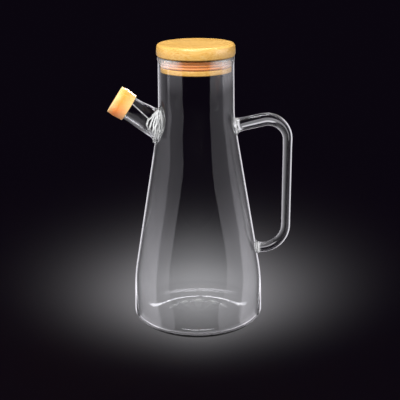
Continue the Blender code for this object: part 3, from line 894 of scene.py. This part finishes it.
pieces_lit = bpy.data.collections.new("lit pieces")
cap_lit = bpy.data.collections.new("lit cap")
glass_lit = bpy.data.collections.new("lit glass")
floor_lit = bpy.data.collections.new("lit floor")
solid_blockers = bpy.data.collections.new("solid blockers")
floor_blocker = bpy.data.collections.new("floor only")
for piece in (seal, lid, cap):
    pieces_lit.objects.link(piece)
    solid_blockers.objects.link(piece)
cap_lit.objects.link(cap)
glass_lit.objects.link(bottle)
floor_lit.objects.link(floor)
floor_blocker.objects.link(floor)


def lamp_object(name, kind, power, place, target, lit, blockers):
    """A lamp at a place with its -Z axis turned to the target. It lights only the pieces in lit, and only
    those in blockers cast its shadows."""
    lamp_data = bpy.data.lights.new(name, kind)
    lamp_data.energy = power
    lamp = bpy.data.objects.new(name, lamp_data)
    scene.collection.objects.link(lamp)
    start = Vector(place) * MM
    lamp.rotation_euler = (Vector(target) * MM - start).to_track_quat("-Z", "Y").to_euler()
    lamp.location = start
    lamp.light_linking.receiver_collection = lit
    lamp.light_linking.blocker_collection = blockers
    return lamp


LID_AIM = (0.0, 0.0, 205.0)
CAP_AIM = (-57.0, 0.0, 178.0)

# name: size, power, place, target, what it lights, what casts shadows
soft_lamps = {
    "seam_lamp": (260.0, 4.2, (-60.0, -500.0, 420.0), (0.0, 0.0, 140.0), glass_lit, floor_blocker),
    "cap_edge_lamp": (150.0, 1.4, (60.0, 400.0, 270.0), CAP_AIM, cap_lit, solid_blockers),
    "cap_fill": (150.0, 0.5, (-250.0, -300.0, 20.0), CAP_AIM, cap_lit, solid_blockers),
    "right_fill": (250.0, 1.7, (560.0, -180.0, 280.0), LID_AIM, pieces_lit, solid_blockers),
    "left_fill": (250.0, 0.5, (-480.0, -260.0, 150.0), LID_AIM, pieces_lit, solid_blockers),
    "soft_box": (420.0, 9.5, (-180.0, -420.0, 760.0), (0.0, 0.0, 190.0), pieces_lit, solid_blockers),
}
for lamp_name, (size, power, *rest) in soft_lamps.items():
    lamp = lamp_object(lamp_name, "AREA", power, *rest)
    lamp.data.size = size * MM
    lamp.visible_camera = False
    lamp.visible_glossy = lamp_name != "seam_lamp"
    lamp.visible_transmission = lamp_name != "seam_lamp"

POOL_PLACE = (0.0, -154.7, 249.8)
POOL_AIM = (0.0, 64.5, 0.0)
POOL_POWER = 2.05
POOL_SPREAD = (0.179, 0.156)
POOL_CORE_SPREAD = 0.078
POOL_CORE_SHARE = 0.42

pool = lamp_object("floor_pool", "POINT", POOL_POWER, POOL_PLACE, POOL_AIM, floor_lit, floor_blocker)
pool.data.shadow_soft_size = 0.0
pool.data.use_nodes = True
tree = pool.data.node_tree
ray = add(tree, "ShaderNodeTexCoord", {}).outputs["Normal"]
ray = add(tree, "ShaderNodeSeparateXYZ", {"Vector": ray})


def bell(slope, width):
    """exp(-(slope / width)^2 / 2) of a slope across the beam, as a node socket."""
    scaled = add(tree, "ShaderNodeMath", {0: slope, 1: width}, operation="DIVIDE")
    squared = add(tree, "ShaderNodeMath", {0: scaled.outputs[0], 1: scaled.outputs[0]}, operation="MULTIPLY")
    halved = add(tree, "ShaderNodeMath", {0: squared.outputs[0], 1: -0.5}, operation="MULTIPLY")
    return add(tree, "ShaderNodeMath", {0: halved.outputs[0]}, operation="EXPONENT").outputs[0]


slopes = [
    add(tree, "ShaderNodeMath", {0: ray.outputs[side], 1: ray.outputs["Z"]}, operation="DIVIDE").outputs[0]
    for side in "XY"
]
core = {0: bell(slopes[0], POOL_CORE_SPREAD), 1: POOL_CORE_SHARE}
core = add(tree, "ShaderNodeMath", core, operation="MULTIPLY").outputs[0]
wide = add(tree, "ShaderNodeMath", {0: bell(slopes[0], POOL_SPREAD[0]), 1: core}, operation="ADD").outputs[0]
beam = add(tree, "ShaderNodeMath", {0: wide, 1: bell(slopes[1], POOL_SPREAD[1])}, operation="MULTIPLY")
tree.links.new(beam.outputs[0], tree.nodes["Emission"].inputs["Strength"])


# Cards
# White cards stand round the bottle, as in a studio for glass. Their light is seen only in what mirrors or
# bends it, so they draw the pale bands, the bright edges and the arcs in the base.

# Bearings are in degrees from the camera's side, positive towards the handle. An upright edge of a card is
# given as (height, bearing) pairs. Below CARD_TURN a card is bent inwards along the floor, and its height
# counts on downwards by the distance from there, so that what the low part of the wall mirrors is a card too.
CARD_DISTANCE = 110.0
CARD_TURN = 2.0
CARD_TOP = 200.0
CARD_FOOT_LENGTH = 59.0
CARD_GRID = 72
CARD_TINT = "#F7F4FC"
HANDLE_SIDE = 60.0
HANDLE_FLOOR = 35.0
CLOSE_RAY = 58.0


def sheet(name, points, glow, finish):
    """A bare sheet from a grid of points in millimetres, whose points carry their glow as an attribute."""
    index = np.arange(glow.size).reshape(glow.shape)
    faces = np.stack([index[:-1, :-1], index[:-1, 1:], index[1:, 1:], index[1:, :-1]], axis=-1)
    mesh = bpy.data.meshes.new(name)
    mesh.from_pydata((points.reshape(-1, 3) * MM).tolist(), [], faces.reshape(-1, 4).tolist())
    mesh.attributes.new("glow", "FLOAT", "POINT").data.foreach_set("value", glow.ravel())
    mesh.materials.append(finish)
    obj = bpy.data.objects.new(name, mesh)
    scene.collection.objects.link(obj)
    obj.visible_shadow = False
    obj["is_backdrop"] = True


def bent_sheet(name, edges, by_height, across, finish, bottom=-CARD_FOOT_LENGTH, top=CARD_TOP):
    """A sheet bent round the bottle between two upright edges. At share s of the way from the first edge to
    the second it glows by across(s) times by_height(height)."""
    height = np.linspace(bottom, top, CARD_GRID)
    share = np.linspace(0.0, 1.0, CARD_GRID)
    first, last = [np.interp(height, *np.transpose(edge))[:, None] for edge in edges]
    turn = np.radians(first + (last - first) * share)
    radius = (CARD_DISTANCE + np.minimum(height - CARD_TURN, 0.0))[:, None]
    level = np.broadcast_to(np.maximum(height, CARD_TURN)[:, None], turn.shape)
    points = np.stack([np.sin(turn) * radius, -np.cos(turn) * radius, level], axis=2)
    glow = np.interp(height, *np.transpose(by_height))[:, None]
    glow = glow * np.interp(share, *np.transpose(across))[None, :]
    sheet(name, points, glow, finish)


def card_finish(name, mirrors, faces):
    """White card that glows by its own emission, standing in for a lit card, shown in rays that were mirrored
    and that crossed glass faces as often as the ranges mirrors and faces say. It is never seen straight on,
    and does not light the floor. The two faces of the rod handle are left out of the count: only behind it,
    beyond
    HANDLE_SIDE and above HANDLE_FLOOR, is a mirrored card closer than CLOSE_RAY."""
    finish, tree, output = material(name)
    path = add(tree, "ShaderNodeLightPath", {})
    crossed = path.outputs["Transmission Depth"]
    if mirrors[0] > 0:
        place = add(tree, "ShaderNodeTexCoord", {}).outputs["Object"]
        sides = add(tree, "ShaderNodeSeparateXYZ", {"Vector": place}).outputs
        rod_tests = (
            (sides["X"], "GREATER_THAN", HANDLE_SIDE * MM),
            (sides["Z"], "GREATER_THAN", HANDLE_FLOOR * MM),
            (path.outputs["Ray Length"], "LESS_THAN", CLOSE_RAY * MM),
        )
        rod = 1.0
        for value, kind, limit in rod_tests:
            test = add(tree, "ShaderNodeMath", {0: value, 1: limit}, operation=kind).outputs[0]
            rod = add(tree, "ShaderNodeMath", {0: rod, 1: test}, operation="MULTIPLY").outputs[0]
        crossed = {0: rod, 1: -2.0, 2: crossed}
        crossed = add(tree, "ShaderNodeMath", crossed, operation="MULTIPLY_ADD").outputs[0]
    tests = (
        (path.outputs["Diffuse Depth"], "LESS_THAN", 0.5),
        (path.outputs["Glossy Depth"], "GREATER_THAN", mirrors[0] - 0.5),
        (path.outputs["Glossy Depth"], "LESS_THAN", mirrors[1] + 0.5),
        (crossed, "GREATER_THAN", faces[0] - 0.5),
        (crossed, "LESS_THAN", faces[1] + 0.5),
    )
    seen = 1.0
    for value, kind, limit in tests:
        test = add(tree, "ShaderNodeMath", {0: value, 1: limit}, operation=kind).outputs[0]
        seen = add(tree, "ShaderNodeMath", {0: seen, 1: test}, operation="MULTIPLY").outputs[0]
    level = add(tree, "ShaderNodeAttribute", {}, attribute_name="glow").outputs["Fac"]
    clear = add(tree, "ShaderNodeBsdfTransparent", {})
    shine = add(tree, "ShaderNodeEmission", {"Color": linear(CARD_TINT), "Strength": level})
    shown = {0: seen, 1: clear.outputs["BSDF"], 2: shine.outputs["Emission"]}
    tree.links.new(add(tree, "ShaderNodeMixShader", shown).outputs["Shader"], output.inputs["Surface"])
    finish.cycles.emission_sampling = "NONE"
    return finish


def even(value):
    """The same value all the way: an upright edge of a card, or an even glow."""
    return ((0.0, value), (1.0, value))


# The near walls mirror the near cards once the ray has crossed two glass faces at most. The solid handle
# bends rays to the rod cards with no mirroring. The base mirrors the base panels inside the bottle.
near_card = card_finish("near card", (1, 99), (-2, 2))
rod_card = card_finish("rod card", (0, 0), (2, 2))
base_card = card_finish("base card", (1, 1), (4, 9))

# On each side a dim card reaches furthest to the front, a bright one lies over its outer part, and a rim card
# goes on from there to the back. Glow goes by height and by the share of the way across.
LEFT_INNER_EDGE = (
    (-38.0, -27.4), (5.0, -37.0), (30.0, -42.0), (54.0, -43.3), (88.0, -38.5), (121.0, -31.5),
    (138.0, -29.6), (153.0, -34.0), (165.0, -37.0),
)
LEFT_OUTER_EDGE = (
    (-45.0, -43.0), (-18.0, -56.5), (5.0, -63.2), (60.0, -66.5), (100.0, -63.2), (133.0, -63.0),
    (147.0, -69.0), (159.0, -78.0), (175.0, -79.6),
)
RIGHT_INNER_EDGE = (
    (-38.0, 23.6), (5.0, 29.6), (30.0, 40.5), (54.0, 45.7), (70.0, 45.7), (120.0, 35.3),
    (137.0, 34.3), (153.0, 36.0), (165.0, 37.5),
)
RIGHT_OUTER_EDGE = (
    (-40.0, 51.3), (-10.0, 65.0), (17.0, 70.0), (44.0, 74.7), (70.0, 78.9), (112.0, 76.2),
    (129.0, 75.8), (152.0, 79.9), (175.0, 77.0),
)
RIGHT_RIM_EDGE = (
    (-61.0, 80.0), (-50.0, 94.0), (-44.0, 103.0), (-37.0, 109.5), (-32.0, 113.0), (-21.0, 119.0),
    (-4.0, 125.0), (2.0, 127.5), (30.0, 131.0), (130.0, 141.0), (175.0, 144.0),
)
LEFT_RIM_EDGE = [(height, -bearing) for height, bearing in RIGHT_RIM_EDGE]
EVEN = even(1.0)
DIM_BY_HEIGHT = (
    (-40.0, 0.8), (30.0, 0.68), (70.0, 1.0), (118.0, 0.52), (168.0, 0.42), (178.0, 0.9), (200.0, 1.2),
)
BRIGHT_BY_HEIGHT = (
    (-40.0, 2.1), (0.0, 2.0), (30.0, 1.85), (50.0, 2.05), (75.0, 1.8), (118.0, 1.08), (168.0, 0.95),
    (178.0, 2.2), (200.0, 3.0),
)
BRIGHT_ACROSS = (
    (0.0, 1.03), (0.2, 0.8), (0.385, 0.56), (0.55, 0.36), (0.68, 0.2), (0.78, 0.08), (1.0, 0.08),
)
RIM_BY_HEIGHT = ((-61.0, 2.0), (-30.0, 1.5), (10.0, 0.95), (180.0, 0.95))
WALL_CARDS = {
    "card_left_dim": ((LEFT_OUTER_EDGE, LEFT_INNER_EDGE), DIM_BY_HEIGHT, EVEN),
    "card_left_bright": ((LEFT_OUTER_EDGE, LEFT_RIM_EDGE), BRIGHT_BY_HEIGHT, BRIGHT_ACROSS),
    "card_left_rim": ((LEFT_RIM_EDGE, even(-180.0)), RIM_BY_HEIGHT, EVEN),
    "card_right_dim": ((RIGHT_OUTER_EDGE, RIGHT_INNER_EDGE), DIM_BY_HEIGHT, EVEN),
    "card_right_bright": ((RIGHT_OUTER_EDGE, RIGHT_RIM_EDGE), BRIGHT_BY_HEIGHT, BRIGHT_ACROSS),
    "card_right_rim": ((RIGHT_RIM_EDGE, even(180.0)), RIM_BY_HEIGHT, EVEN),
}
for card_name, card in WALL_CARDS.items():
    bent_sheet(card_name, *card, near_card)

# The straight cards: finish, span of bearings, span of heights, and the glow at a few shares of the way
# across. The rod shows its own cards, the front foot draws the bright line of the front heel, and the lid
# cards give the sides of the lid a soft gloss.
STRAIGHT_CARDS = {
    "card_grip_left": (
        rod_card, (101.0, 137.0), (2.0, 200.0),
        ((0.0, 0.8), (0.25, 0.3), (0.55, 0.14), (0.8, 0.04), (1.0, 0.02)),
    ),
    "card_grip_right": (rod_card, (168.0, 224.0), (2.0, 200.0), ((0.0, 0.1), (0.25, 0.9), (1.0, 0.9))),
    "card_top_run": (rod_card, (142.0, 167.9), (150.0, 166.0), even(0.7)),
    "card_top_glow": (rod_card, (142.0, 167.9), (124.0, 149.9), even(0.22)),
    "card_low_run": (rod_card, (138.0, 163.0), (17.0, 27.0), even(0.5)),
    "card_front_foot": (near_card, (-80.0, 80.0), (-58.3, -47.0), even(1.7)),
    "card_lid_left": (near_card, (-79.0, -92.0), (203.0, 260.0), even(4.0)),
    "card_lid_right": (near_card, (79.0, 92.0), (203.0, 260.0), even(4.0)),
}
for card_name, (finish, bearings, heights, across) in STRAIGHT_CARDS.items():
    edges = [even(bearing) for bearing in bearings]
    bent_sheet(card_name, edges, EVEN, across, finish, *heights)

# The flat cards: a corner, the two sides from there, and the glow. One hangs over the handle and lights its
# upper bend. Two dim ones keep the tube and the neck from mirroring brighter things.
FLAT_CARDS = {
    "card_overhead": ((5.0, -22.0, 330.0), (80.0, 0.0, 0.0), (0.0, 72.0, 0.0), 9.0),
    "flag_behind": ((-68.0, 30.0, 128.5), (25.0, 0.0, 0.0), (0.0, 0.0, 66.5), 0.1),
    "card_at_cap": ((-39.0, -17.0, 150.0), (0.0, 34.0, 0.0), (0.0, 0.0, 48.0), 0.33),
}
FLAT_GRID = 6

share = np.linspace(0.0, 1.0, FLAT_GRID)[:, None, None]
for card_name, (corner, first_side, second_side, card_glow) in FLAT_CARDS.items():
    points = np.array(corner) + share * first_side + share.transpose(1, 0, 2) * second_side
    sheet(card_name, points, np.full(points.shape[:2], card_glow), near_card)

# Behind the bottle stand three panels: distance, height at the middle, rise per millimetre sideways, half
# width towards the spout and towards the handle, half height, and glow. The base and the heel draw them out
# into thin arcs. A narrow gap parts each in two, and they fade towards their ends.
BASE_PANELS = {
    "panel_front_heel": (110.0, 28.0, 0.0, (50.0, 50.0), 2.5, 0.9),
    "panel_base_arc": (400.0, 250.0, 0.35, (105.0, 140.0), 12.0, 7.0),
    "panel_heel_arc": (150.0, 235.0, 0.1, (91.0, 91.0), 35.0, 7.5),
}
PANEL_GAP = 1.2
PANEL_FADE = 0.92
PANEL_COLUMNS = 12
PANEL_ROWS = 6

for panel_name, (away, middle, rise, half_widths, half_height, strength) in BASE_PANELS.items():
    for side, half_width in zip((-1.0, 1.0), half_widths):
        across = side * np.linspace(PANEL_GAP, half_width, PANEL_COLUMNS)[None, :]
        upward = np.linspace(-half_height, half_height, PANEL_ROWS)[:, None]
        level = middle + rise * np.abs(across) + upward
        across = np.broadcast_to(across, level.shape)
        points = np.stack([across, np.full(level.shape, away), level], axis=2)
        fading = strength * (1.0 - PANEL_FADE * (across / half_width) ** 2)
        sheet(f"{panel_name}_{side}", points, fading, base_card)


bpy.context.view_layer.update()
sizes = {"cad": cad_box, "visual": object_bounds()}
sizes = {name: [list(corner) for corner in box] for name, box in sizes.items()}
